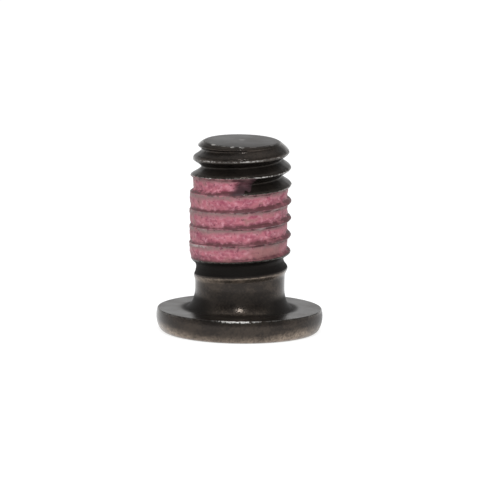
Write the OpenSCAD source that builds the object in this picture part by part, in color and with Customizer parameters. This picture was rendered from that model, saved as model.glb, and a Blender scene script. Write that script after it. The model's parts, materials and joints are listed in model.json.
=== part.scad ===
// Low-head bolt with a six-lobe recess and dry thread-locking adhesive in its middle turns.
// It stands on its head: z = 0 is the head's outer face, and +Z runs along the shank to the point.
// Lengths are in millimetres and angles in degrees.

/* [Head] */
// Diameter of the head at its widest
head_d = 9.8; // [8.6:0.1:14]
// Thickness of the head, from its outer face to its bearing face
head_t = 1.4; // [1.2:0.05:1.8]
// Radius of the barrel-shaped rim, seen in section
rim_r = 1.5; // [1.2:0.1:3]
// Depth of the rim's widest circle below the bearing face
rim_drop = 0.45; // [0.2:0.05:0.7]
// Radius of the edge between the rim and the outer face
outer_edge_r = 0.45; // [0.2:0.05:0.6]
// Radius of the edge between the rim and the bearing face
bearing_edge_r = 0.08; // [0.03:0.01:0.15]

/* [Shank] */
// Length of the shank from the bearing face to the end of the point
shank_l = 10; // [7:0.5:20]
// Diameter of the plain neck
neck_d = 5.26; // [4.9:0.02:5.6]
// Length of the plain neck, from the bearing face to the first rise of the thread
neck_l = 1.5; // [1.3:0.1:3]
// Width of the fillet between the neck and the bearing face, measured on the bearing face
fillet_w = 0.6; // [0.2:0.05:0.8]
// Height of that fillet, measured on the neck
fillet_h = 1.2; // [0.3:0.05:1.2]
// Diameter of the end of the point, where its bevel would meet its end face
point_d = 4.46; // [3.6:0.02:4.7]
// Angle of the point's bevel, measured from the axis
point_angle = 46; // [30:1:60]
// Radius of the edge between the point's bevel and its end face
point_edge_r = 0.3; // [0.05:0.05:0.4]

/* [Thread] */
// Diameter over the crests
thread_d = 5.95; // [5.7:0.05:6.4]
// Distance from one crest to the next
thread_pitch = 1; // [0.75:0.25:1.25]
// Length over which the crests rise from the neck to their full height
rise_l = 1.9; // [0.5:0.1:3]
// Length over which the root sinks from the neck to its full depth
sink_l = 2.6; // [0.5:0.1:4]
// Height above the neck at which the groove begins
groove_gap = 0.55; // [0.3:0.05:0.8]
// Angle round the axis at which the groove begins
groove_start_angle = 47; // [-180:1:180]

/* [Recess] */
// Diameter across the lobes
recess_d = 4.5; // [3.9:0.05:4.8]
// Diameter across the ribs between the lobes
recess_rib_d = 3.25; // [2.8:0.05:3.4]
// Radius of each lobe's round end
lobe_r = 0.36; // [0.3:0.01:0.42]
// Depth of the straight walls
recess_depth = 1.65; // [1:0.05:2.2]
// Depth of the conical floor below the walls
recess_floor = 0.4; // [0.2:0.05:0.6]
// Width of the bevel round the mouth, outside the lobes
mouth_bevel = 0.1; // [0.05:0.01:0.2]
// Depth of that bevel on the ribs
mouth_depth = 0.3; // [0.1:0.05:0.6]

/* [Adhesive] */
// Bare length between the neck and the middle of the groove where the adhesive begins
adhesive_neck_gap = 1.7; // [0.9:0.1:2.5]
// Bare length between the end of the point and the middle of the groove where the adhesive ends
adhesive_point_gap = 2.3; // [1:0.1:4]
// Mean depth of the adhesive's surface below the crests
adhesive_below_crest = 0.13; // [0.05:0.01:0.3]
// Sideways set of the adhesive's surface, which fills one side of the thread higher than the other
adhesive_offset = 0.12; // [0:0.01:0.12]

/* [Hidden] */

// Smoothness of turned surfaces, straight runs in one arc of a section, and steps in one turn of the thread
$fn = 96;
arc_steps = 10;
lobe_steps = 7;
turn_steps = 40;

steel = [0.17, 0.16, 0.16];
adhesive_pink = [0.74, 0.38, 0.44];

head_r = head_d / 2;
neck_r = neck_d / 2;
point_r = point_d / 2;
thread_r = thread_d / 2;
end_z = head_t + shank_l;

// Rim of the head: the barrel, and the two edge radii that touch it from inside
barrel = [head_r - rim_r, head_t - rim_drop];
outer_edge_drop = barrel.y - outer_edge_r;
outer_edge_reach = sqrt((rim_r - outer_edge_r) ^ 2 - outer_edge_drop ^ 2);
outer_edge = [barrel.x + outer_edge_reach, outer_edge_r];
outer_edge_angle = -asin(outer_edge_drop / (rim_r - outer_edge_r));
bearing_edge_rise = rim_drop - bearing_edge_r;
bearing_edge_reach = sqrt((rim_r - bearing_edge_r) ^ 2 - bearing_edge_rise ^ 2);
bearing_edge = [barrel.x + bearing_edge_reach, head_t - bearing_edge_r];
bearing_edge_angle = asin(bearing_edge_rise / (rim_r - bearing_edge_r));

// Metric thread form: a V with a flat root and a flat crest
flank_angle = 30;
thread_depth = 0.6134 * thread_pitch;
root_half_w = thread_pitch / 12;
root_r = thread_r - thread_depth;

// Section of the groove at its full depth, as [distance along the axis from its middle, height above root]
crest_overcut = 0.06 * thread_pitch;
groove_h = thread_depth + crest_overcut;
groove_half_w = root_half_w + groove_h * tan(flank_angle);
groove_section = [
    [root_half_w, 0],
    [groove_half_w, groove_h],
    [-groove_half_w, groove_h],
    [-root_half_w, 0]
];

// The groove begins just above the neck and runs out past the end of the point
rise_z = head_t + neck_l;
groove_z = rise_z + groove_gap;
turns_past_end = 0.6;
groove_turns = (end_z - groove_z) / thread_pitch + turns_past_end;
groove_steps = ceil(groove_turns * turn_steps);

// Recess: its walls and mouth are cut from below the outer face
lobes = 6;
recess_undercut = 0.5;
recess_rib_r = recess_rib_d / 2;
mouth_r = recess_d / 2 + mouth_bevel;
mouth_cut_r = mouth_r + (mouth_r - recess_rib_r) / mouth_depth * recess_undercut;

// The adhesive fills the groove from one of the groove's own steps to another
steps_per_mm = groove_steps / (groove_turns * thread_pitch);
adhesive_first_step = round((adhesive_neck_gap - groove_gap) * steps_per_mm);
adhesive_last_step = round((end_z - adhesive_point_gap - groove_z) * steps_per_mm);
adhesive_r = thread_r - adhesive_below_crest;

// Points on an arc in a section, from one angle to another
function arc(centre, r, from, to, steps) =
    [for (i = [0 : steps]) let (a = from + (to - from) * i / steps) centre + r * [cos(a), sin(a)]];

// Share of a length that lies below a given height, from 0 where it starts to 1 where it ends
function share(z, start, length) = min(1, max(0, (z - start) / length));

// Radius in the run-out: what is above the neck rises with the crests, and what is below sinks with the root
function runout_r(r, z) =
    neck_r
    + share(z, rise_z, rise_l) * max(0, r - neck_r)
    + share(z, groove_z, sink_l) * min(0, r - neck_r);

// One section of the groove, placed on the helix: the step's share of the turns gives its angle and height
function groove_ring(step) =
    let (
        turns = groove_turns * step / groove_steps,
        a = groove_start_angle + 360 * turns,
        middle_z = groove_z + thread_pitch * turns
    )
    [
        for (p = groove_section)
            let (
                z = middle_z + p.x,
                r = runout_r(root_r + min(p.y, thread_depth), z) + max(0, p.y - thread_depth)
            )
            [r * cos(a), r * sin(a), z]
    ];

// Turned form before the thread is cut, drawn as a half section and spun round the axis
module turned_blank() {
    bevel_z = end_z - (thread_r - point_r) / tan(point_angle);
    point_edge = [point_r - point_edge_r * tan((90 - point_angle) / 2), end_z - point_edge_r];
    fillet = [
        for (p = arc([0, 0], 1, 270, 180, arc_steps))
            [neck_r + fillet_w * (1 + p.x), head_t + fillet_h * (1 + p.y)]
    ];
    rotate_extrude()
        polygon(concat(
            [[0, 0]],
            arc(outer_edge, outer_edge_r, -90, outer_edge_angle, arc_steps),
            arc(barrel, rim_r, outer_edge_angle, bearing_edge_angle, arc_steps),
            arc(bearing_edge, bearing_edge_r, bearing_edge_angle, 90, arc_steps),
            fillet,
            [[neck_r, rise_z], [thread_r, rise_z + rise_l], [thread_r, bevel_z]],
            arc(point_edge, point_edge_r, point_angle, 90, arc_steps),
            [[0, end_z]]
        ));
}

// Space of the helical groove between two of its steps, swept as one solid
module groove_space(first, last) {
    n = len(groove_section);
    count = last - first;
    points = [for (step = [first : last]) each groove_ring(step)];
    sides = [
        for (step = [0 : count - 1], i = [0 : n - 1])
            let (a = step * n + i, b = step * n + (i + 1) % n)
            each [[a, b + n, b], [a, a + n, b + n]]
    ];
    ends = [[for (i = [0 : n - 1]) i], [for (i = [n - 1 : -1 : 0]) count * n + i]];
    polyhedron(points, concat(sides, ends));
}

// Outline of the recess: round lobes that run smoothly into round ribs
module recess_outline() {
    half = 180 / lobes;
    lobe_at = recess_d / 2 - lobe_r;
    // The rib's round end has the one radius that touches both of the lobes beside it
    rib_end_r = (lobe_r ^ 2 - lobe_at ^ 2 - recess_rib_r ^ 2 + 2 * lobe_at * recess_rib_r * cos(half))
        / (2 * recess_rib_r - 2 * lobe_at * cos(half) - 2 * lobe_r);
    rib_at = recess_rib_r + rib_end_r;
    lobe_turn = atan2(rib_at * sin(half), rib_at * cos(half) - lobe_at);
    rib_turn = lobe_turn - half;
    polygon([
        for (i = [0 : lobes - 1])
            let (a = 2 * half * i, b = a + half)
            each concat(
                arc(lobe_at * [cos(a), sin(a)], lobe_r, a - lobe_turn, a + lobe_turn, lobe_steps),
                arc(rib_at * [cos(b), sin(b)], rib_end_r, b + 180 + rib_turn, b + 180 - rib_turn, lobe_steps)
            )
    ]);
}

// Recess in the outer face: lobed walls, a conical floor and a bevelled mouth
module drive_recess() {
    translate([0, 0, -recess_undercut])
        linear_extrude(recess_depth + recess_undercut)
            recess_outline();
    translate([0, 0, recess_depth])
        cylinder(h = recess_floor, r1 = recess_rib_r, r2 = 0);
    translate([0, 0, -recess_undercut])
        cylinder(h = mouth_depth + recess_undercut, r1 = mouth_cut_r, r2 = recess_rib_r);
}

// One-piece steel bolt
module bolt() {
    color(steel)
        difference() {
            turned_blank();
            groove_space(0, groove_steps);
            drive_recess();
        }
}

// Dry adhesive set in the middle turns of the groove, level with a cylinder that is set off the axis
module thread_lock_patch() {
    color(adhesive_pink)
        intersection() {
            groove_space(adhesive_first_step, adhesive_last_step);
            translate([-adhesive_offset, 0, head_t])
                cylinder(h = shank_l, r = adhesive_r);
        }
}

bolt();
thread_lock_patch();
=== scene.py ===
"""Looks of a low-head bolt with dry thread-locking adhesive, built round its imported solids.

Lengths are in millimetres until a mesh is made, angles are in radians where degrees aren't named, and +Z
runs along the shank.
"""

import json
import logging
import math
from dataclasses import dataclass, field
from enum import Enum
from functools import reduce
from typing import Any

import bpy
import numpy as np
from mathutils import Euler, Matrix, Vector


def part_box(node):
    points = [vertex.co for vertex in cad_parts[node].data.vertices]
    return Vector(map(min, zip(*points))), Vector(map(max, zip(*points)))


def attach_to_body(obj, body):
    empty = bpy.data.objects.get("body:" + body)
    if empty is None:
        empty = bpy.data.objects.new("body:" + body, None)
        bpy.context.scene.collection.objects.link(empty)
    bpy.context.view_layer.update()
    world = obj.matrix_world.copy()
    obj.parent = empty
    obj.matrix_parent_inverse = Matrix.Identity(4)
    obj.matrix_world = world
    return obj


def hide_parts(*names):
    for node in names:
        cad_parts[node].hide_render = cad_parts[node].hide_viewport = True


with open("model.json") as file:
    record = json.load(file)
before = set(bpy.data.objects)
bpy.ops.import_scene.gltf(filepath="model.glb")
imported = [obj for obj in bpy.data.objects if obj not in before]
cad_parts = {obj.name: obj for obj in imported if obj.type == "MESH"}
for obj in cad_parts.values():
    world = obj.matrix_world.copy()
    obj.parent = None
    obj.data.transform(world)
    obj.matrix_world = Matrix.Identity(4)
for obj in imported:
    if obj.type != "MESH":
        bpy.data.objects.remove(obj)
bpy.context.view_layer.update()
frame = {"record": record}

LOG = logging.getLogger("bolt")
MM = 0.001
TURN = 2.0 * math.pi
Array = np.ndarray
Socket = bpy.types.NodeSocket
Span = tuple[float, float]
Colour = tuple[float, float, float]
WHITE: Colour = (1.0, 1.0, 1.0)


class Solid(Enum):
    """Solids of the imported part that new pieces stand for."""

    BOLT = "bolt"
    ADHESIVE = "thread_lock_patch"


class Slot(Enum):
    """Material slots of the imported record."""

    STEEL = "dark_steel"
    ADHESIVE = "dry_adhesive"


class Mark(Enum):
    """Values that a mesh carries at each point, for its finish to read."""

    # Worn bare steel, with painted glints on the end's rim and a painted highlight at the front of the
    # bearing edge.
    WEAR_AND_HIGHLIGHT = "wear"
    # Painted light in a light brown: painted reflection of the floor on the rim's lower edge, and painted
    # light under the lip and on the front of the bearing face.
    PAINTED_LIGHT = "tan"
    # Duller, darker oxide, which is also painted shade in the groove, on the fillet's sides and on the lower
    # neck.
    DULL_AND_SHADE = "dull"
    DUST = "dust"
    ACROSS = "across"
    SOUND = "sound"
    COVER = "cover"
    # Painted glints: whitish marks on the film just below the crests.
    PAINTED_GLINT = "chalk"
    # Painted shade: darker towards the bottom of each band of adhesive, partly where it thins.
    PAINTED_LOW_SHADE = "low"


def ease(value: Array, low: float, high: float, first: float = 0.0, last: float = 1.0) -> Array:
    """Returns first below low and last above high, with the cubic 3s^2 - 2s^3 of the step between them."""
    s = np.clip((value - low) / (high - low), 0.0, 1.0)
    return first + (last - first) * s * s * (3.0 - 2.0 * s)


def strongest(shares: tuple[float, ...], parts: list[Array]) -> Array:
    """Returns the greatest of some parts at each point, each times its own share."""
    return np.maximum.reduce([share * part for share, part in zip(shares, parts)])


def smooth_min(a: Array, b: Array, blend: float) -> Array:
    """Returns the lesser height, less blend / 4 times (1 - |a - b| / blend)^2 where they are that close."""
    share = np.maximum(blend - np.abs(a - b), 0.0) / blend
    return np.minimum(a, b) - share * share * blend / 4.0


def smooth_max(a: Array, b: Array, blend: float) -> Array:
    """Returns the greater of two heights with a round edge, as the mirror of smooth_min."""
    return -smooth_min(-a, -b, blend)


def polar(radius: Array, angle: Array, z: Array) -> Array:
    """Returns points with x = r cos a, y = r sin a and the given height, stacked on a last axis."""
    return np.stack(np.broadcast_arrays(radius * np.cos(angle), radius * np.sin(angle), z), axis=-1)


def arc(centre: Span, radius: float, start: float, end: float, steps: int) -> Array:
    """Returns steps + 1 points (r, z): centre plus radius times (cos, sin) of angles given in degrees."""
    angle = np.radians(np.linspace(start, end, steps + 1))
    return np.array(centre) + radius * np.stack([np.cos(angle), np.sin(angle)], axis=1)


@dataclass(frozen=True)
class Ripple:
    """Smooth seeded noise in space.

    Attributes:
        size: Mean length of one wave.
        seed: Seed of the random draws.
        height: Root mean square of the noise.
        waves: Number of plane waves in the sum.
    """

    size: float
    seed: int
    height: float = 1.0
    waves: int = 28

    def at(self, points: Array) -> Array:
        """Sum of cosines of (heading . point + phase), scaled to a root mean square of height.

        Args:
            points: Array of points with x, y and z on its last axis.

        Returns:
            The noise at each point, mostly within twice its height.
        """
        draw = np.random.default_rng(self.seed)
        heading = draw.normal(size=(self.waves, 3))
        heading /= np.linalg.norm(heading, axis=1, keepdims=True)
        pace = TURN / (self.size * draw.uniform(0.7, 1.5, (self.waves, 1)))
        phase = draw.uniform(0.0, TURN, self.waves)
        total = np.cos(points @ (heading * pace).T + phase).sum(axis=-1)
        return total * self.height * math.sqrt(2.0 / self.waves)


def make_piece(
    name: str, points: Array, faces: list[list[int]], marks: dict[Mark, Array]
) -> bpy.types.Object:
    """Puts points and faces into a new smooth mesh object that sits at the origin.

    Args:
        name: Name of the piece.
        points: Points in millimetres, one row each.
        faces: Corner numbers of each face, anticlockwise seen from outside.
        marks: Value at each point for each mark that the finish reads.

    Returns:
        The new object, linked to the scene.
    """
    mesh = bpy.data.meshes.new(name)
    mesh.from_pydata((points * MM).tolist(), [], faces, shade_flat=False)
    for mark, values in marks.items():
        layer = mesh.attributes.new(mark.value, "FLOAT", "POINT")
        layer.data.foreach_set("value", values.astype(np.float32).ravel())
    mesh.update()
    piece = bpy.data.objects.new(name, mesh)
    bpy.context.scene.collection.objects.link(piece)
    return piece


def attach(piece: bpy.types.Object, solid: Solid, finish: bpy.types.Material) -> None:
    """Dresses a piece, hangs it on the root body and hides the solid that it stands for.

    Args:
        piece: The new piece.
        solid: Solid that the piece stands for.
        finish: Material of the piece.
    """
    piece.data.materials.append(finish)
    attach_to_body(piece, "root")
    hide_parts(solid.value)
    LOG.info("%s: %d points, %d faces", piece.name, len(piece.data.vertices), len(piece.data.polygons))


def opaque(colour: Any) -> Any:
    """Returns a colour with a full fourth channel, as a colour socket wants it, and a socket as it is."""
    return colour if isinstance(colour, Socket) else (*colour, 1.0)


class NodeSheet:
    """Node tree of a new material or surround, with short ways to add and link nodes."""

    def __init__(self, owner: bpy.types.Material | bpy.types.World, output: str, place: str) -> None:
        """Starts an empty tree.

        Args:
            owner: New material or surround that has the tree.
            output: Blender's name of its output node's type.
            place: Name of the coordinates that its noise and ramps read.
        """
        owner.use_nodes = True
        self.owner = owner
        self.tree = owner.node_tree
        self.tree.nodes.clear()
        self.output = self.tree.nodes.new(output)
        self.place = self.add("ShaderNodeTexCoord").outputs[place]

    @classmethod
    def material(cls, name: str) -> "NodeSheet":
        """Returns the sheet of a new material."""
        return cls(bpy.data.materials.new(name), "ShaderNodeOutputMaterial", "Object")

    @classmethod
    def surround(cls, name: str) -> "NodeSheet":
        """Returns the sheet of a new surround."""
        return cls(bpy.data.worlds.new(name), "ShaderNodeOutputWorld", "Generated")

    def add(self, kind: str, inputs: dict[Any, Any] | None = None, **settings: Any) -> bpy.types.Node:
        """Adds a node.

        Args:
            kind: Blender's name of the node type.
            inputs: Sockets to link, or constants to set, by socket name or number.
            settings: Properties of the node.

        Returns:
            The new node.
        """
        node = self.tree.nodes.new(kind)
        for key, value in settings.items():
            setattr(node, key, value)
        for key, value in (inputs or {}).items():
            if isinstance(value, Socket):
                self.tree.links.new(value, node.inputs[key])
            else:
                node.inputs[key].default_value = value
        return node

    def noise(self, size: float, detail: float = 3.0, flat: float = 1.0) -> Socket:
        """Returns cloudy noise from 0 to 1.

        Args:
            size: Width of its blots in millimetres.
            detail: Number of finer octaves.
            flat: Width of its blots over their height.

        Returns:
            The noise's socket.
        """
        place = self.add("ShaderNodeMapping", {"Vector": self.place, "Scale": (1.0, 1.0, flat)}).outputs[0]
        inputs = {"Vector": place, "Scale": 1.0 / (size * MM), "Detail": detail, "Roughness": 0.55}
        return self.add("ShaderNodeTexNoise", inputs).outputs["Fac"]

    def mark(self, mark: Mark) -> Socket:
        """Returns the value that the mesh carries at each point."""
        return self.add("ShaderNodeAttribute", attribute_name=mark.value).outputs["Fac"]

    def spread(self, value: Socket, low: float, high: float, first: float = 0.0,
               last: float = 1.0) -> Socket:
        """Returns value carried smoothly from the span low to high over to the span first to last."""
        inputs = {"Value": value, "From Min": low, "From Max": high, "To Min": first, "To Max": last}
        return self.add("ShaderNodeMapRange", inputs, interpolation_type="SMOOTHSTEP").outputs["Result"]

    def math(self, operation: str, *values: Any) -> Socket:
        """Returns the result of one sum, product or other operation on some values."""
        return self.add("ShaderNodeMath", dict(enumerate(values)), operation=operation).outputs[0]

    def mix(self, share: Socket, first: Any, second: Any) -> Socket:
        """Returns the first colour with a share of the second mixed into it."""
        inputs = {0: share, 6: opaque(first), 7: opaque(second)}
        return self.add("ShaderNodeMix", inputs, data_type="RGBA").outputs[2]

    def raised(self, level: Any, *rays: str) -> Socket:
        """Returns a level that is at least 1 for the named kinds of ray."""
        path = self.add("ShaderNodeLightPath").outputs
        return reduce(lambda least, ray: self.math("MAXIMUM", least, path[ray]), rays, level)

    def bump(self, height: Socket, depth: float) -> Socket:
        """Returns a normal bent by a height, which is depth millimetres from 0 to 1."""
        inputs = {"Height": height, "Distance": depth * MM, "Strength": 1.0}
        return self.add("ShaderNodeBump", inputs).outputs["Normal"]

    def surface(self, shader: bpy.types.Node) -> bpy.types.Material | bpy.types.World:
        """Links a shader to the output and returns the material or the surround."""
        self.tree.links.new(shader.outputs[0], self.output.inputs["Surface"])
        return self.owner


@dataclass(frozen=True)
class OxideSteel:
    """Black oxide on steel: a dark satin metal, blotched with brown and worn bright along its edges, with
    painted light in a light brown, painted shade in its duller oxide and painted highlights in some bare
    steel.

    Attributes:
        dark, brown: Colours of the sound oxide and of the thin, brownish oxide.
        tan: Light brown of the painted light: painted reflection of the floor on the rim's lower edge, and
            painted
        light under the first lip and on the front of the bearing face.
        dull, bare: Colours of the untouched, duller oxide, which is also painted shade in the groove, on the
            fillet's
        sides and on the lower neck, and of steel that is worn bare, also as painted glints on the end's rim
        and a painted highlight at the front of the bearing edge.
        metal: How far the oxide shines as a metal does.
        blot: Size of the brown blots.
        grain, grain_depth: Size and depth of the finest grain.
        grain_share: How far the grain breaks up the blots.
        painted_light_size: Size of the patches in the painted light.
        stretch_size, fleck_size: Length of the worn stretches of an edge, and size of their bare flecks.
        satin: Least and greatest roughness of the oxide.
        dull_rough, bare_rough: Roughness that the duller oxide and bare steel have more.
    """

    dark: Colour = (0.031, 0.0255, 0.0222)
    brown: Colour = (0.056, 0.0445, 0.0365)
    # Light brown of the painted light on the rim, under the lip and on the bearing face.
    tan: Colour = (0.285, 0.225, 0.176)
    # Darker colour of the duller oxide, which also paints shade into the groove, the fillet's sides and the
    # lower neck.
    dull: Colour = (0.014, 0.0118, 0.0104)
    bare: Colour = (0.62, 0.60, 0.57)
    metal: float = 0.8
    blot: float = 1.3
    grain: float = 0.13
    grain_depth: float = 0.0005
    grain_share: float = 0.9
    painted_light_size: float = 0.5
    stretch_size: float = 1.1
    fleck_size: float = 0.16
    satin: Span = (0.18, 0.25)
    dull_rough: float = 0.5
    bare_rough: float = 0.22

    def make(self) -> bpy.types.Material:
        """Returns the material: blots of oxide and brown under painted light, duller oxide with painted shade
        and bare steel.
        """
        sheet = NodeSheet.material("black_oxide")
        grain = sheet.noise(self.grain, 4.0)
        blots = sheet.noise(self.blot, 4.0)
        mottle = sheet.math("MULTIPLY_ADD", grain, self.grain_share, blots)
        oxide = sheet.mix(sheet.spread(mottle, 0.80, 1.12), self.dark, self.brown)
        # Painted light: the light brown goes where the painted-light mark is, broken into patches and grain.
        patches = sheet.spread(sheet.noise(self.painted_light_size), 0.3, 0.7, 0.55)
        painted_light = sheet.math("MULTIPLY", sheet.mark(Mark.PAINTED_LIGHT), patches)
        painted_light = sheet.math("MULTIPLY", painted_light, sheet.spread(grain, 0.32, 0.68, 0.55, 1.45))
        oxide = sheet.mix(painted_light, oxide, self.tan)
        # Duller, darker oxide, and with it painted shade in the groove, on the fillet's sides and the lower
        # neck.
        oxide = sheet.mix(sheet.mark(Mark.DULL_AND_SHADE), oxide, self.dull)
        # Bare steel on worn crests and edges, and as painted glints on the end's rim and a painted highlight
        # at the front of the bearing edge.
        stretches = sheet.spread(sheet.noise(self.stretch_size, 2.0), 0.38, 0.62, 0.35)
        flecks = sheet.spread(sheet.noise(self.fleck_size, 3.0), 0.38, 0.58, 0.15)
        bright = sheet.math("MULTIPLY", sheet.mark(Mark.WEAR_AND_HIGHLIGHT), sheet.math("MULTIPLY", stretches, flecks))
        bright = sheet.spread(bright, 0.0, 1.0)
        rough = sheet.spread(blots, 0.3, 0.7, *self.satin)
        rough = sheet.math("MULTIPLY_ADD", sheet.mark(Mark.DULL_AND_SHADE), self.dull_rough, rough)
        rough = sheet.math("MULTIPLY_ADD", bright, self.bare_rough, rough)
        shader = sheet.add("ShaderNodeBsdfPrincipled", {
            "Base Color": sheet.mix(bright, oxide, self.bare),
            "Metallic": self.metal,
            "Roughness": rough,
            "Normal": sheet.bump(grain, self.grain_depth),
        })
        return sheet.surface(shader)


@dataclass(frozen=True)
class DryAdhesive:
    """Dry thread-locking adhesive: a chalky, mottled pink that greys and darkens towards the crests where it
    thins, with painted shade at the bottom of each band and painted glints below the crests.

    Attributes:
        pink, pale: Colours of the thick adhesive and of its light crumbs.
        deep, dusty: Colours of its saturated blots and of its brownish patches.
        film, chalk: Colours of the greyish film below each crest and of the whitish painted glints on it.
        thin: Colour over each crest, where the steel shows through, and of the painted shade at the bottom of
            each band.
        speck, fade: Colours of the dark red specks and of the thin ends, darkened by painted shade in the
            groove as
        well as by the steel showing through.
        blot, blot_flat: Width of the blots, and that width over their height.
        crumb, crumb_flat, crumb_depth: Width of the crumbs, that width over their height, and their depth.
        dust_size, painted_light_size, speck_size: Sizes of the brownish patches, the whitish painted glints
        and the specks.
        rough: Least and greatest roughness.
    """

    pink: Colour = (0.48, 0.145, 0.185)
    pale: Colour = (0.66, 0.31, 0.36)
    deep: Colour = (0.30, 0.062, 0.100)
    dusty: Colour = (0.28, 0.130, 0.120)
    film: Colour = (0.26, 0.155, 0.150)
    # Whitish colour of the painted glints.
    chalk: Colour = (0.52, 0.41, 0.40)
    thin: Colour = (0.105, 0.036, 0.041)
    speck: Colour = (0.15, 0.030, 0.055)
    # Dark colour of the thin ends: the steel showing through, and painted shade of the groove.
    fade: Colour = (0.046, 0.023, 0.027)
    blot: float = 0.9
    blot_flat: float = 2.2
    crumb: float = 0.28
    crumb_flat: float = 1.3
    crumb_depth: float = 0.022
    dust_size: float = 2.2
    painted_light_size: float = 0.9
    speck_size: float = 0.2
    rough: Span = (0.42, 0.7)

    def make(self) -> bpy.types.Material:
        """Returns the material: blotted pinks, then film, painted shade, thin crests, painted glints, specks
        and ends.
        """
        sheet = NodeSheet.material("pink_adhesive")
        blots = sheet.noise(self.blot, 3.0, self.blot_flat)
        crumbs = sheet.noise(self.crumb, 3.0, self.crumb_flat)
        dusted = sheet.spread(sheet.math("ADD", sheet.noise(self.dust_size), blots), 1.08, 1.35)
        dusted = sheet.math("MAXIMUM", dusted, sheet.mark(Mark.DUST))
        pinks = sheet.mix(sheet.spread(blots, 0.60, 0.34), self.pink, self.deep)
        pinks = sheet.mix(sheet.spread(crumbs, 0.42, 0.78, 0.0, 0.9), pinks, self.pale)
        pinks = sheet.mix(dusted, pinks, self.dusty)
        sway = sheet.spread(sheet.math("ADD", blots, crumbs), 0.7, 1.3, -0.08, 0.08)
        across = sheet.math("ADD", sheet.mark(Mark.ACROSS), sway)
        film = sheet.mix(sheet.spread(crumbs, 0.44, 0.74, 0.0, 0.6), self.film, self.pink)
        filmed = sheet.mix(sheet.spread(across, 0.08, 0.36), pinks, film)
        # Painted shade: darker towards the bottom of each band, over the crest below, partly where the
        # adhesive thins.
        low = sheet.math("MULTIPLY_ADD", sway, -2.0, sheet.mark(Mark.PAINTED_LOW_SHADE))
        filmed = sheet.mix(sheet.spread(low, 0.0, 1.0), filmed, self.thin)
        thinned = sheet.math("MULTIPLY_ADD", sway, 0.4, sheet.mark(Mark.COVER))
        crests = sheet.mix(sheet.spread(thinned, 0.05, -0.01), filmed, self.thin)
        # Painted glints: whitish patches on the film just below each crest, in noise and at the listed turns.
        painted_light = sheet.spread(sheet.noise(self.painted_light_size, 4.0), 0.50, 0.66, 0.0, 0.6)
        painted_light = sheet.math("MAXIMUM", painted_light, sheet.mark(Mark.PAINTED_GLINT))
        painted_light = sheet.math("MULTIPLY", sheet.spread(across, 0.34, 0.43), painted_light)
        crests = sheet.mix(painted_light, crests, self.chalk)
        specks = sheet.spread(sheet.noise(self.speck_size, 2.0), 0.60, 0.72, 0.0, 0.85)
        specked = sheet.mix(specks, crests, self.speck)
        # The ends fade to a dark colour: the steel showing through, and painted shade of the groove.
        colour = sheet.mix(sheet.spread(sheet.mark(Mark.SOUND), 1.0, 0.0), specked, self.fade)
        shader = sheet.add("ShaderNodeBsdfPrincipled", {
            "Base Color": colour,
            "Roughness": sheet.spread(crumbs, 0.3, 0.7, *self.rough),
            "IOR": 1.45,
            "Normal": sheet.bump(crumbs, self.crumb_depth),
        })
        return sheet.surface(shader)


@dataclass(frozen=True)
class RolledThread:
    """Right-hand thread rolled into the shank, which grows out of the plain neck.

    Attributes:
        crest_r, neck_r: Radius over the crests, and of the neck.
        rise_z, start_z, end_z: Heights at which the crests begin to rise, the groove's middle begins and
            the point ends.
        rise_l, sink_l: Lengths over which the crests rise and the root sinks.
        pitch, depth: Distance from one crest to the next, and depth of the groove.
        flank: Angle between each flank and a plane across the axis.
        start_angle, start_blend: Angle at which the groove begins, and half the length of its soft start.
        root_round, crest_round: Half the width of the round root, and height of the crests' round.
        tip_fall, tip_gaps: Fall of the crests towards the point, and the distances from the end between
            which they fall.
    """

    crest_r: float
    neck_r: float
    rise_z: float
    start_z: float
    end_z: float
    rise_l: float = 1.9
    sink_l: float = 2.6
    pitch: float = 1.0
    depth: float = 0.6134
    flank: float = math.radians(30.0)
    start_angle: float = math.radians(47.0)
    start_blend: float = 0.1
    root_round: float = 0.1
    crest_round: float = 0.16
    tip_fall: float = 0.15
    tip_gaps: Span = (2.0, 0.8)

    def across(self, angle: Array, z: Array) -> Array:
        """Returns the signed distance along the axis from the nearest groove's middle.

        The middle rises by one pitch in a turn, so the distance is what is left of
        (z - start) / pitch - (angle - start angle) / turn after its nearest whole number is taken off.
        """
        turns = (z - self.start_z) / self.pitch - (angle - self.start_angle) / TURN
        return (turns - np.round(turns)) * self.pitch

    def crest(self, z: Array) -> Array:
        """Returns the radius over full crests, which falls a little towards the point."""
        first, last = self.tip_gaps
        return self.crest_r - self.tip_fall * ease(z, self.end_z - first, self.end_z - last)

    def risen(self, z: Array) -> Array:
        """Returns the share of the crests' rise, from 0 on the neck to 1 on full crests."""
        return np.clip((z - self.rise_z) / self.rise_l, 0.0, 1.0)

    def envelope(self, z: Array) -> Array:
        """Returns the radius over the crests, which rises evenly from the neck's."""
        return self.neck_r + (self.crest(z) - self.neck_r) * self.risen(z)

    def radius(self, angle: Array, z: Array) -> Array:
        """Radius of the thread, from the plain neck to the full form.

        The groove's height above its root is a hyperbola, (sqrt(d^2 + c^2) - c) / tan(flank), which runs
        into straight flanks and is cut off round at the crests. Below the groove's start, the plain neck
        rises softly to the first lip. Next to the neck, what stands above the neck's radius is scaled by
        the share of the crests' rise, and what lies below it by the share of the root's fall.

        Args:
            angle: Angle round the axis.
            z: Height.

        Returns:
            The radius, with round crests and roots.
        """
        distance = self.across(angle, z)
        rise = (np.hypot(distance, self.root_round) - self.root_round) / math.tan(self.flank)
        full = smooth_min(self.crest(z), self.crest_r - self.depth + rise, self.crest_round)
        begun = ease(z - distance - self.start_z, -self.start_blend, self.start_blend)
        lip = self.neck_r + (self.crest_r - self.neck_r) * ease(distance, 0.0, 0.5 * self.pitch)
        full = lip + begun * (full - lip)
        sunk = np.clip((z - self.start_z) / self.sink_l, 0.0, 1.0)
        above = smooth_max(full - self.neck_r, 0.0 * full, self.root_round)
        return self.neck_r + self.risen(z) * above + sunk * (full - self.neck_r - above)


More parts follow.
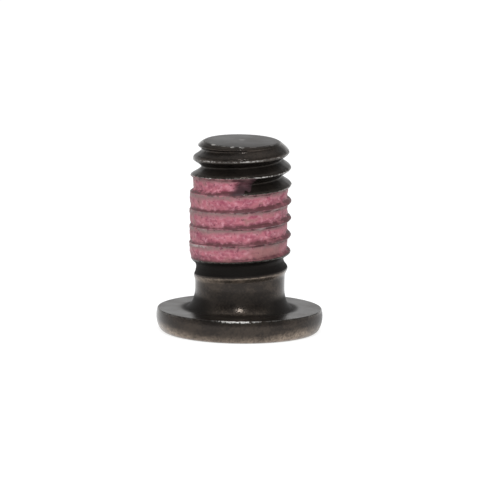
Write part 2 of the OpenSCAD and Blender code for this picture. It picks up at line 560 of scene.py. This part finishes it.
@dataclass
class Bolt:
    """One-piece bolt: head, fillet, neck, thread, point and six-lobe recess.

    Attributes:
        head_r, head_t: Radius of the head at its widest, and its thickness.
        end_z, crest_r: Height of the end of the point, and radius over the thread's crests.
        lobe_tip_r, recess_depth: Radius to the tips of the recess's lobes, and depth of its straight walls.
        rim_r, rim_drop: Radius of the barrel-shaped rim in section, and depth of its widest circle below
            the bearing face.
        outer_edge_r, bearing_edge_r: Radii of the rim's edges with the outer and the bearing face.
        neck_r, neck_l: Radius and length of the plain neck.
        fillet_w, fillet_h: Width of the fillet on the bearing face, and its height on the neck.
        groove_gap: Height above the neck at which the groove begins.
        point_r, point_angle: Radius at which the point's bevel would meet the end face, and the bevel's
            angle from the axis in degrees.
        point_edge_r: Radius of the edge between the bevel and the end face.
        dome: Fall of the end face from its middle to its edge.
        end_lean, lean_angle: Lift of the end's high side, and the angle of that side round the axis.
        bevel_round: Height over which the bevel and the thread run into each other.
        dents: Noise of the shallow dents.
        nicks, nick_depth: Noise that sets the nicks in the crests, and their depth.
        crest_wear, end_wear_and_glint, edge_wear_and_highlight: Least and greatest share of bare steel on the
        crests, the end and the bearing edge; the end's greatest, at its spots, and the bearing edge's
        greatest, at its front, are painted highlight as well as worn steel.
        end_glints: Angles round the axis, in degrees, of the bright bare spots on the end's rim, which are
            painted
        glints as well as worn steel.
        painted_light_shares: Shares of the light brown: painted reflection of the floor on the rim's lower
            edge, and painted light
        under the first lip and on the front of the bearing face.
        dull_and_shade_shares: Shares of the duller, darker oxide on the groove, end face, bearing face,
            fillet, neck and right end of
        the rim; in the groove, on the fillet's sides and on the lower neck it is painted shade too.
        rib_r, lobe_r, lobes: Radius to the recess's ribs, and round end and number of its lobes.
        mouth_bevel, mouth_depth: Width of the bevel round the recess's mouth, and its depth on the ribs.
        floor_depth: Depth of the recess's conical floor below its walls.
        columns, rows_per_mm: Points in one ring, and rings in one millimetre of thread.
        rise_z, thread: Height at which the thread begins to rise, and the thread.
    """

    head_r: float
    head_t: float
    end_z: float
    crest_r: float
    lobe_tip_r: float
    recess_depth: float
    rim_r: float = 1.5
    rim_drop: float = 0.45
    outer_edge_r: float = 0.45
    bearing_edge_r: float = 0.08
    neck_r: float = 2.63
    neck_l: float = 1.5
    fillet_w: float = 0.6
    fillet_h: float = 1.2
    groove_gap: float = 0.55
    point_r: float = 2.23
    point_angle: float = 46.0
    point_edge_r: float = 0.3
    dome: float = 0.05
    end_lean: float = 0.045
    lean_angle: float = math.radians(105.0)
    bevel_round: float = 0.16
    dents: Ripple = Ripple(0.7, 5, 0.004)
    nicks: Ripple = Ripple(0.42, 11)
    nick_depth: float = 0.03
    crest_wear: Span = (0.25, 0.8)
    end_wear_and_glint: Span = (0.4, 5.4)
    edge_wear_and_highlight: Span = (0.3, 5.3)
    end_glints: tuple[float, ...] = (-139.0, -104.0, -90.0)
    painted_light_shares: tuple[float, ...] = (1.0, 0.5, 0.17)
    dull_and_shade_shares: tuple[float, ...] = (1.0, 0.3, 0.2, 0.85, 0.4, 0.35)
    rib_r: float = 1.625
    lobe_r: float = 0.36
    lobes: int = 6
    mouth_bevel: float = 0.1
    mouth_depth: float = 0.3
    floor_depth: float = 0.4
    columns: int = 240
    rows_per_mm: float = 34.0
    rise_z: float = field(init=False)
    thread: RolledThread = field(init=False)

    def __post_init__(self) -> None:
        """Works out where the thread begins to grow, and makes the thread that starts there."""
        self.rise_z = self.head_t + self.neck_l
        start_z = self.rise_z + self.groove_gap
        self.thread = RolledThread(self.crest_r, self.neck_r, self.rise_z, start_z, self.end_z)

    def shank_radius(self, angle: Array, z: Array) -> Array:
        """Radius of the threaded shank, cut by the point's bevel, with small dents and nicked crests.

        Args:
            angle: Angle round the axis.
            z: Height.

        Returns:
            The radius at each point.
        """
        thread = self.thread.radius(angle, z)
        bevel = self.point_r + (self.end_z - z) * math.tan(math.radians(self.point_angle))
        radius = smooth_min(thread, bevel + 0.0 * thread, self.bevel_round)
        spot = polar(np.full_like(radius, self.crest_r), angle, z)
        threaded = ease(z, self.rise_z + 0.8, self.rise_z + 1.8)
        threaded = threaded * ease(self.end_z - z, 0.0, 0.1)
        crest = ease(np.abs(self.thread.across(angle, z)), 0.34, 0.46)
        nicks = ease(self.nicks.at(spot), 1.25, 2.2)
        return radius + threaded * (self.dents.at(spot) - self.nick_depth * crest * nicks)

    def recess_radius(self, angle: Array) -> Array:
        """Radius of the recess's lobed wall in polar form.

        A lobe is the far side of a circle of radius lobe_r about a centre on its own line, and a rib is
        the near side of the one circle that touches both lobes beside it.

        Args:
            angle: Angle round the axis, with a lobe at zero.

        Returns:
            The radius of the wall at each angle.
        """
        half = math.pi / self.lobes
        lobe_at = self.lobe_tip_r - self.lobe_r
        reach = lobe_at * math.cos(half)
        rib_end = (self.lobe_r ** 2 - lobe_at ** 2 - self.rib_r ** 2 + 2.0 * reach * self.rib_r) / (
            2.0 * (self.rib_r - reach - self.lobe_r))
        rib_at = self.rib_r + rib_end
        turn = math.atan2(rib_at * math.sin(half), rib_at * math.cos(half) - lobe_at)
        touch = math.atan2(self.lobe_r * math.sin(turn), lobe_at + self.lobe_r * math.cos(turn))
        off = np.abs((angle + half) % (2.0 * half) - half)
        side = half - off
        lobe_reach = np.sqrt(np.maximum(0.0, self.lobe_r ** 2 - (lobe_at * np.sin(off)) ** 2))
        rib_reach = np.sqrt(np.maximum(0.0, rib_end ** 2 - (rib_at * np.sin(side)) ** 2))
        return np.where(off < touch, lobe_at * np.cos(off) + lobe_reach, rib_at * np.cos(side) - rib_reach)

    def head_section(self) -> Array:
        """Half section from the neck down the fillet, over the bearing face and the barrel rim, to the mouth.

        Returns:
            Points (r, z): straight runs between arcs that touch each other.
        """
        barrel = (self.head_r - self.rim_r, self.head_t - self.rim_drop)
        low_drop = barrel[1] - self.outer_edge_r
        low_gap = self.rim_r - self.outer_edge_r
        low = (barrel[0] + math.sqrt(low_gap ** 2 - low_drop ** 2), self.outer_edge_r)
        low_angle = -math.degrees(math.asin(low_drop / low_gap))
        top_rise = self.rim_drop - self.bearing_edge_r
        top_gap = self.rim_r - self.bearing_edge_r
        top = (barrel[0] + math.sqrt(top_gap ** 2 - top_rise ** 2), self.head_t - self.bearing_edge_r)
        top_angle = math.degrees(math.asin(top_rise / top_gap))
        fillet = (self.neck_r + self.fillet_w, self.head_t + self.fillet_h)
        neck = np.linspace([self.neck_r, self.rise_z - 0.04], [self.neck_r, fillet[1] + 0.04], 6)
        face = np.linspace([fillet[0] + 0.1, self.head_t], [top[0] - 0.05, self.head_t], 9)
        mouth = self.lobe_tip_r + self.mouth_bevel
        outer = np.linspace([low[0] - 0.1, 0.0], [mouth + 0.03, 0.0], 8)
        return np.concatenate([
            neck,
            np.array(fillet) + arc((0.0, 0.0), 1.0, 180.0, 270.0, 20) * [self.fillet_w, self.fillet_h],
            face,
            arc(top, self.bearing_edge_r, 90.0, top_angle, 6),
            arc(barrel, self.rim_r, top_angle, low_angle, 14)[1:],
            arc(low, self.outer_edge_r, low_angle, -90.0, 10)[1:],
            outer,
            [[mouth, 0.0]],
        ])

    def end_section(self) -> Array:
        """Half section of the end face and its round edge, from beside the axis to the bevel.

        Returns:
            Points (r, z): the end and an arc that touches the end and the bevel, sunk by the dome times r^2.
        """
        turn = 90.0 - self.point_angle
        reach = self.point_edge_r * math.tan(math.radians(turn / 2.0))
        edge = arc((self.point_r - reach, self.end_z - self.point_edge_r), self.point_edge_r,
                   90.0, self.point_angle, 8)
        flat = np.linspace([0.25, self.end_z], [edge[0, 0] - 0.03, self.end_z], 8)
        section = np.concatenate([flat, edge])
        section[:, 1] -= self.dome * (section[:, 0] / self.point_r) ** 2
        return section

    def rows(self) -> Array:
        """All rings of the bolt from the end face to the recess floor, without the two poles.

        The end and the head are their half sections spun round the axis, the shank and the recess's wall
        are radii by angle and height, and the floor runs from the wall in to a cone.

        Returns:
            Points as (row, column, xyz).
        """
        angle = np.arange(self.columns) * TURN / self.columns
        end = self.end_section()
        head = self.head_section()
        top_z = end[-1, 1] - 1.0 / self.rows_per_mm
        count = int((top_z - self.rise_z) * self.rows_per_mm)
        shank_z = np.linspace(top_z, self.rise_z, count)[:, None]
        wall = self.recess_radius(angle)
        mouth = head[-1, 0]
        rim_z = (mouth - wall) * self.mouth_depth / (mouth - self.rib_r)
        share = np.linspace(0.0, 1.0, 9)[:, None]
        wall_z = rim_z + (self.recess_depth - rim_z) * share
        floor_r = np.concatenate([wall + (self.rib_r - wall) * np.linspace(0.1, 1.0, 4)[:, None],
                                  self.rib_r * np.linspace(0.95, 0.12, 7)[:, None] + 0.0 * wall])
        floor_z = self.recess_depth + self.floor_depth * np.maximum(0.0, 1.0 - floor_r / self.rib_r)
        rings = [
            polar(end[:, :1], angle, end[:, 1:]),
            polar(self.shank_radius(angle, shank_z), angle, shank_z),
            polar(head[:, :1], angle, head[:, 1:]),
            polar(wall + 0.0 * wall_z, angle, wall_z),
            polar(floor_r, angle, floor_z),
        ]
        return np.concatenate(rings)

    def leaned(self, points: Array) -> Array:
        """Points of the rings with the end leaned a little off square.

        Each point is lifted by end_lean times its share of the end's radius towards the high side, which
        fades out towards the axis and below the point.

        Args:
            points: Rings as (row, column, xyz).

        Returns:
            The moved points.
        """
        x, y, z = np.moveaxis(points, -1, 0)
        towards = (x * math.cos(self.lean_angle) + y * math.sin(self.lean_angle)) / self.point_r
        lift = self.end_lean * towards * np.minimum(1.0, np.hypot(x, y) / self.point_r)
        lift = lift * ease(z, self.end_z - 1.2, self.end_z - 0.2)
        return np.stack([x, y, z + lift], axis=-1)

    def wear(self, points: Array) -> Array:
        """Worn steel from 0 up: on the crests, the end's edge and the bearing edge, with painted glints at
        the end's spots and a painted highlight at the front of the bearing edge; at 1 and above it is bare.

        Args:
            points: Rings as (row, column, xyz).

        Returns:
            The wear at each point.
        """
        x, y, z = np.moveaxis(points, -1, 0)
        radius = np.hypot(x, y)
        angle = np.arctan2(y, x)
        across = self.thread.across(angle, z)
        crest = ease(across, 0.39, 0.45) * ease(radius, self.neck_r, self.crest_r - 0.1)
        crest = crest * ease(z, self.rise_z, self.rise_z + 0.3) * ease(self.end_z - z, 0.3, 0.6)
        crest = crest * ease(z, self.rise_z + 1.7, self.rise_z + 2.3, *self.crest_wear)
        end_edge = ease(radius, self.point_r - 0.13, self.point_r - 0.07)
        end_edge = end_edge * ease(z, self.end_z - 0.11, self.end_z - 0.06)
        # Painted glints: bare spots at listed angles on the end's rim, over a faint worn line.
        near = np.cos(angle[..., None] - np.radians(self.end_glints)).max(axis=-1)
        spots = ease(near, math.cos(math.radians(4.0)), math.cos(math.radians(0.5)), *self.end_wear_and_glint)
        bearing = ease(radius, self.head_r - 0.2, self.head_r - 0.12)
        bearing = bearing * ease(z, self.head_t - 0.075, self.head_t - 0.05)
        bearing = bearing * ease(radius, self.head_r - 0.14, self.head_r - 0.10)
        # Painted highlight: the bearing edge is bare mostly at its front, where the lamp's highlight falls,
        # and faintly elsewhere.
        front = ease(-np.abs(x), -1.7, 0.2, *self.edge_wear_and_highlight)
        bearing = bearing * np.where(y < 0.0, front, self.edge_wear_and_highlight[0])
        return crest + end_edge * spots + bearing

    def tan(self, points: Array) -> Array:
        """Painted light in a light brown, from 0 to 1: painted reflection of the floor, strong on the rim's
        lower edge, and slight painted light under the lip and beside the neck.

        Args:
            points: Rings as (row, column, xyz).

        Returns:
            The rub at each point.
        """
        x, y, z = np.moveaxis(points, -1, 0)
        radius = np.hypot(x, y)
        # Painted reflection of the floor: lighter low on the rim, reaching higher and stronger at the sides.
        side = ease(np.abs(x + 0.5), 1.6, 4.3)
        low = 1.0 - ease(z - 0.3 * side, 0.0, 0.6)
        rim = low * (0.85 + 0.15 * side) * ease(radius, self.head_r - 0.75, self.head_r - 0.35)
        # Painted light under the first lip, where it is in shade.
        across = self.thread.across(np.arctan2(y, x), z)
        lip = ease(across, 0.15, 0.35) * ease(z, self.rise_z, self.rise_z + 0.15)
        lip = lip * (1.0 - ease(z - across, self.thread.start_z - 0.2, self.thread.start_z))
        # Painted light on the front of the bearing face, beside the neck.
        front = (y < 0.0) * ease(-np.abs(x), -2.6, -1.4) * (radius < self.head_r - 0.2)
        front = front * ease(-np.abs(z - self.head_t), -0.6, -0.2)
        return strongest(self.painted_light_shares, [rim, lip, front])

    def dull(self, points: Array) -> Array:
        """Dull, rougher and darker oxide from 0 to 1: in the groove, and in part on the faces, fillet, neck
        and rim; in the groove, on the fillet's sides and on the lower neck its darker colour is painted
        shade.

        Args:
            points: Rings as (row, column, xyz).

        Returns:
            The dullness at each point.
        """
        x, y, z = np.moveaxis(points, -1, 0)
        radius = np.hypot(x, y)
        across = self.thread.across(np.arctan2(y, x), z)
        # Painted shade in the groove, partly duller oxide.
        below = ease(self.thread.envelope(z) - radius, 0.004, 0.05)
        groove = below * ease(z, self.rise_z, self.rise_z + 0.2)
        groove = groove * ease(self.end_z - z, 0.4, 0.8)
        groove = groove * ease(z - across, self.thread.start_z - 0.1, self.thread.start_z + 0.05)
        root = ease(-np.abs(across), -0.24, -0.06)
        groove = groove * (1.0 - (0.75 - 0.2 * root) * ease(z, self.rise_z + 1.2, self.rise_z + 2.0))
        end = ease(z, self.end_z - 0.15, self.end_z - 0.06)
        top = ease(z, self.head_t - 0.06, self.head_t - 0.01) * (radius < self.head_r - 0.1)
        bearing = top * (radius > self.neck_r + 0.3) * (z < self.head_t + 0.1)
        # Painted shade on the fillet's sides and back.
        flare = ease(-radius, -self.neck_r - 1.1, -self.neck_r - 0.5)
        flare = flare * ease(self.head_t + self.fillet_h - z, 0.1, 0.6)
        fillet = top * flare * np.maximum(ease(np.abs(x), 1.0, 2.2), 0.6 * (y > 0.0))
        # Painted shade on the middle of the lower neck, front and back.
        neck = top * ease(self.rise_z - z, 0.0, 0.3) * ease(-np.abs(x), -2.3, -1.6)
        neck = neck * ease(z, self.head_t + 0.45, self.head_t + 0.8)
        rim = ease(x, 3.4, 4.6) * ease(self.head_t - z, 0.05, 0.2)
        return strongest(self.dull_and_shade_shares, [groove, end, bearing, fillet, neck, rim])

    def build(self) -> bpy.types.Object:
        """Joins the rings with quads, closes both poles with fans and returns the piece."""
        rings = self.rows()
        count, columns = rings.shape[:2]
        points = np.concatenate([
            self.leaned(rings).reshape(-1, 3),
            [[0.0, 0.0, self.end_z], [0.0, 0.0, self.recess_depth + self.floor_depth]],
        ])
        number = np.arange(count * columns).reshape(count, columns)
        beside = np.roll(number, -1, axis=1)
        quads = np.stack([number[:-1], number[1:], beside[1:], beside[:-1]], axis=-1).reshape(-1, 4)
        top = np.full(columns, count * columns)
        first = np.stack([top, number[0], beside[0]], axis=-1)
        last = np.stack([number[-1], top + 1, beside[-1]], axis=-1)
        marks = {Mark.WEAR_AND_HIGHLIGHT: self.wear(rings), Mark.PAINTED_LIGHT: self.tan(rings), Mark.DULL_AND_SHADE: self.dull(rings)}
        marks = {mark: np.append(values.ravel(), [0.0, 0.0]) for mark, values in marks.items()}
        faces = quads.tolist() + first.tolist() + last.tolist()
        return make_piece("threaded_bolt", points, faces, marks)


@dataclass
class AdhesivePatch:
    """Dry adhesive that fills the middle turns of the thread, higher on one side than on the other.

    Attributes:
        bolt: Bolt whose groove it fills.
        first_turn, last_turn: Turns from the groove's start to the adhesive's lower and upper end.
        below_crest, offset: Mean depth of its surface below the crests, and sideways set of that surface.
        lean: Rise of its surface across the groove, towards the point.
        sunk: Depth to which its hidden side goes into the steel.
        last_drop: Drop of its surface in the last half turn.
        dust_turn, painted_glint_turns: Turns to the middles of a brownish patch and of the whitish painted
            glints.
        lumps: Noise of the lumps on its surface.
        film, film_swing: Mean thickness of the film over the steel, and its swing from side to side.
        film_waves, film_least: Noise of that thickness, and the least thickness.
        rag, slant: Noise of the ragged ends, and their slant for each pitch across the groove, in turns.
        columns, rows: Points along one turn, and steps across the groove.
    """

    bolt: Bolt
    first_turn: float = 1.15
    last_turn: float = 5.70
    below_crest: float = 0.12
    offset: float = 0.12
    lean: float = 0.08
    sunk: float = 0.05
    last_drop: float = 0.16
    dust_turn: float = 1.72
    painted_glint_turns: tuple[float, ...] = (1.456, 2.717)
    lumps: tuple[Ripple, ...] = (Ripple(0.6, 21, 0.016), Ripple(0.25, 22, 0.009))
    film: float = 0.018
    film_swing: float = 0.014
    film_waves: Ripple = Ripple(0.5, 23, 0.007)
    film_least: float = 0.004
    rag: tuple[Ripple, ...] = (Ripple(1.1, 24, 0.008), Ripple(0.4, 25, 0.003))
    slant: float = 0.065
    columns: int = 200
    rows: int = 28

    def surface(self, turns: Array, across: Array) -> tuple[Array, Array, dict[Mark, Array]]:
        """Outer and hidden surface over the steel, along and across the groove.

        The outer radius is the greater of two: a level that follows a cylinder set off the axis, leaning
        across the groove with lumps on it, and a thin film over the steel. Towards the two ends it thins to
        the film, and at the free edges it dips just under the steel.

        Args:
            turns: Turns along the groove, as a column.
            across: Distance across the groove from its middle, as a row.

        Returns:
            Outer points, hidden points, and the marks of the outer points.
        """
        thread = self.bolt.thread
        angle = thread.start_angle + TURN * turns + 0.0 * across
        z = thread.start_z + thread.pitch * turns + across
        steel = self.bolt.shank_radius(angle, z)
        spot = polar(np.full_like(steel, thread.crest_r), angle, z)
        level = thread.envelope(z) - self.below_crest - self.offset * np.cos(angle) + self.lean * across
        level = level + sum(noise.at(spot) for noise in self.lumps)
        level = level - self.last_drop * ease(turns, self.last_turn - 0.8, self.last_turn - 0.35)
        film = self.film - self.film_swing * np.cos(angle) + self.film_waves.at(spot)
        film = np.maximum(self.film_least, film)
        outer = smooth_max(steel + film, level, 0.06)
        ragged = sum(noise.at(spot) for noise in self.rag)
        slant = self.slant * np.maximum(0.0, 0.35 - across / thread.pitch)
        ends = np.minimum(turns - self.first_turn, self.last_turn - turns) - slant + ragged
        outer = steel + film + ease(ends, 0.02, 0.11) * (outer - steel - film)
        low_edge = np.where(turns < self.first_turn + 1.0, across / thread.pitch + 0.5, 1.0)
        high_edge = np.where(turns > self.last_turn - 1.0, 0.5 - across / thread.pitch, 1.0)
        edges = ease(np.minimum(low_edge, high_edge) + 0.3 * ragged, 0.0, 0.05)
        sound = ease(ends, 0.0, 0.035) * edges
        cover = (outer - steel) * sound - 0.03 * (1.0 - sound)
        # Painted shade at the bottom of each band: where it starts across the groove changes round the bolt.
        shade_start = 0.15 - 0.09 * np.cos(angle)
        # Painted glints at the listed turns.
        chalk = np.abs(turns - np.array(self.painted_glint_turns)[:, None, None]).min(axis=0)
        marks = {
            Mark.SOUND: ease(ends, 0.02, 0.115),
            Mark.PAINTED_LOW_SHADE: (-across / thread.pitch - shade_start) / (0.52 - shade_start),
            Mark.COVER: cover,
            Mark.ACROSS: across / thread.pitch + 0.0 * turns,
            Mark.DUST: 0.8 * ease(-np.abs(turns - self.dust_turn), -0.12, -0.03) + 0.0 * across,
            Mark.PAINTED_GLINT: ease(-chalk, -0.06, -0.02) + 0.0 * across,
        }
        return polar(steel + cover, angle, z), polar(steel - self.sunk, angle, z), marks

    def build(self) -> bpy.types.Object:
        """Returns a sheet along the groove, with its turns joined at the crests, closed as a shell."""
        count = int(round((self.last_turn - self.first_turn) * self.columns))
        turns = np.linspace(self.first_turn, self.last_turn, count + 1)[:, None]
        half = self.bolt.thread.pitch / 2.0
        across = np.linspace(-half, half, self.rows + 1)[None, :]
        outer, hidden, marks = self.surface(turns, across)
        number = np.arange((count + 1) * (self.rows + 1)).reshape(count + 1, self.rows + 1)
        joined = number.copy()
        joined[:-self.columns, -1] = number[self.columns:, 0]
        quads = np.stack([joined[:-1, :-1], joined[1:, :-1], joined[1:, 1:], joined[:-1, 1:]], axis=-1)
        quads = quads.reshape(-1, 4)
        used, compact = np.unique(quads, return_inverse=True)
        sheet = compact.reshape(-1, 4)
        size = len(used)
        sides = np.stack([sheet, np.roll(sheet, -1, axis=1)], axis=-1).reshape(-1, 2)
        code = sides[:, 0] * size + sides[:, 1]
        back = sides[:, 1] * size + sides[:, 0]
        rim = sides[~np.isin(code, back)]
        walls = np.stack([rim[:, 1], rim[:, 0], rim[:, 0] + size, rim[:, 1] + size], axis=-1)
        faces = sheet.tolist() + (sheet[:, ::-1] + size).tolist() + walls.tolist()
        points = np.concatenate([outer.reshape(-1, 3)[used], hidden.reshape(-1, 3)[used]])
        marks = {mark: np.tile(values.ravel()[used], 2) for mark, values in marks.items()}
        return make_piece("dry_adhesive", points, faces, marks)


@dataclass(frozen=True)
class Lamp:
    """Oval lamp in front of the bolt.

    Attributes:
        name: Name of the lamp.
        elevation: Angle above the level, in degrees.
        width, height: Size of the lamp.
        power: Power in watts.
        mirrored: Whether glossy surfaces show the lamp.
        away, tint: Distance from the bolt, and colour of the light.
    """

    name: str
    elevation: float
    width: float
    height: float
    power: float
    mirrored: bool
    away: float = 300.0
    tint: Colour = (0.93, 0.97, 1.0)

    def hang(self, middle_z: float) -> None:
        """Hangs the lamp so that it faces the bolt.

        Args:
            middle_z: Height on the axis that it faces.
        """
        data = bpy.data.lights.new(self.name, "AREA")
        data.shape = "ELLIPSE"
        data.size = self.width * MM
        data.size_y = self.height * MM
        data.color = self.tint
        data.energy = self.power
        tilt = math.radians(self.elevation)
        line = Vector((0.0, -math.cos(tilt), math.sin(tilt)))
        lamp = bpy.data.objects.new(self.name, data)
        place = (Vector((0.0, 0.0, middle_z)) + line * self.away) * MM
        lamp.matrix_world = Matrix.Translation(place) @ line.to_track_quat("Z", "Y").to_matrix().to_4x4()
        lamp.visible_glossy = self.mirrored
        bpy.context.scene.collection.objects.link(lamp)


@dataclass
class Studio:
    """White floor and surround, a narrow lamp that gives the highlights, a soft lamp, and the camera.

    Attributes:
        aim, distance: Point that the camera looks at, and its distance.
        elevation, roll: Angle of the camera above the level, and its turn round its own line, in degrees.
        view_w, sensor: Width of the picture at that point, and of the camera's sensor.
        floor_w, floor_drop: Width of the floor, and its depth below the head.
        paper, shade, glow: Grey of the floor as it lights the bolt, grey on which the shadow is seen, and
            strength of the white that is added to it.
        ramps: Ramps of the surround's level, each as the axis of a direction, its span and two levels.
        lamps: The lamps.
    """

    aim: tuple[float, float, float] = (-0.025, 0.0, 5.43)
    distance: float = 800.0
    elevation: float = 9.55
    roll: float = 0.75
    view_w: float = 28.24
    sensor: float = 36.0
    floor_w: float = 3000.0
    floor_drop: float = 0.02
    paper: Colour = (0.8, 0.8, 0.8)
    shade: Colour = (0.35, 0.35, 0.35)
    glow: float = 0.85
    ramps: tuple[tuple[str, Span, Span], ...] = (
        ("Y", (-0.8, 0.2), (0.4, 1.0)),
        ("Z", (0.15, 0.45), (1.0, 0.34)),
        ("Z", (0.7, 0.96), (1.0, 2.0)),
    )
    lamps: tuple[Lamp, ...] = (
        Lamp("key_lamp", 49.0, 14.0, 120.0, 0.2, mirrored=True),
        Lamp("fill_lamp", 38.0, 150.0, 150.0, 0.52, mirrored=False),
    )

    def camera(self) -> None:
        """Places the camera on a line that rises towards -Y, rolled round that line."""
        data = bpy.data.cameras.new("camera")
        data.sensor_width = self.sensor
        data.lens = self.sensor * self.distance / self.view_w
        data.clip_start = 0.001
        data.clip_end = 100.0
        tilt = math.radians(self.elevation)
        camera = bpy.data.objects.new("camera", data)
        turn = Euler((math.pi / 2.0 - tilt, 0.0, 0.0)).to_matrix().to_4x4()
        turn = turn @ Matrix.Rotation(math.radians(self.roll), 4, "Z")
        place = Vector(self.aim) + Vector((0.0, -math.cos(tilt), math.sin(tilt))) * self.distance
        camera.matrix_world = Matrix.Translation(place * MM) @ turn
        bpy.context.scene.collection.objects.link(camera)
        bpy.context.scene.camera = camera

    def floor(self) -> None:
        """Lays a square white floor under the head, white to the eye and soft in shadow."""
        half = self.floor_w / 2.0
        corner = np.array([[-half, -half], [half, -half], [half, half], [-half, half]])
        points = np.column_stack([corner, np.full(4, -self.floor_drop)])
        floor = make_piece("floor", points, [[0, 1, 2, 3]], {})
        sheet = NodeSheet.material("white_floor")
        seen = sheet.raised(0.0, "Is Camera Ray", "Is Glossy Ray", "Is Transmission Ray")
        paper = sheet.add("ShaderNodeBsdfDiffuse", {"Color": opaque(self.paper)})
        shade = sheet.add("ShaderNodeBsdfDiffuse", {"Color": opaque(self.shade)})
        glow = sheet.add("ShaderNodeEmission", {"Color": opaque(WHITE), "Strength": self.glow})
        shown = sheet.add("ShaderNodeAddShader", {0: shade.outputs[0], 1: glow.outputs[0]})
        both = sheet.add("ShaderNodeMixShader", {0: seen, 1: paper.outputs[0], 2: shown.outputs[0]})
        floor.data.materials.append(sheet.surface(both))

    def surround(self) -> None:
        """Makes a surround that is white to the eye.

        Mirrored and lighting rays see it white behind the bolt near the level, and dimmer overhead and in
        front of the bolt: the level is the product of the ramps.
        """
        sheet = NodeSheet.surround("white_surround")
        heading = sheet.add("ShaderNodeSeparateXYZ", {0: sheet.place}).outputs
        level = 1.0
        for axis, span, levels in self.ramps:
            level = sheet.math("MULTIPLY", level, sheet.spread(heading[axis], *span, *levels))
        level = sheet.raised(level, "Is Camera Ray", "Is Transmission Ray")
        light = sheet.add("ShaderNodeBackground", {"Color": opaque(WHITE), "Strength": level})
        bpy.context.scene.world = sheet.surface(light)

    def build(self) -> None:
        """Sets up the camera, the floor, the surround and the lamps."""
        self.camera()
        self.floor()
        self.surround()
        for lamp in self.lamps:
            lamp.hang(self.aim[2])
        bpy.context.scene.view_settings.view_transform = "Standard"


def bolt_from_frame() -> Bolt:
    """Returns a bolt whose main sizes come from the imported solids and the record's mounts."""
    _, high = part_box(Solid.BOLT.value)
    mounts = {mount["name"]: mount for mount in frame["record"]["mounts"]}
    recess = mounts["drive_recess"]["dims"]
    return Bolt(
        head_r=min(high.x, high.y) / MM,
        head_t=mounts["bearing_face"]["pos_m"][2] / MM,
        end_z=high.z / MM,
        crest_r=mounts["thread"]["dims"]["r_mm"],
        lobe_tip_r=recess["r_mm"],
        recess_depth=recess["length_mm"],
    )


def main() -> None:
    """Builds the studio, the bolt and its adhesive."""
    logging.basicConfig(level=logging.INFO, format="%(name)s: %(message)s")
    Studio().build()
    bolt = bolt_from_frame()
    attach(bolt.build(), Solid.BOLT, OxideSteel().make())
    patch = AdhesivePatch(bolt)
    attach(patch.build(), Solid.ADHESIVE, DryAdhesive().make())


if __name__ == "__main__":
    main()
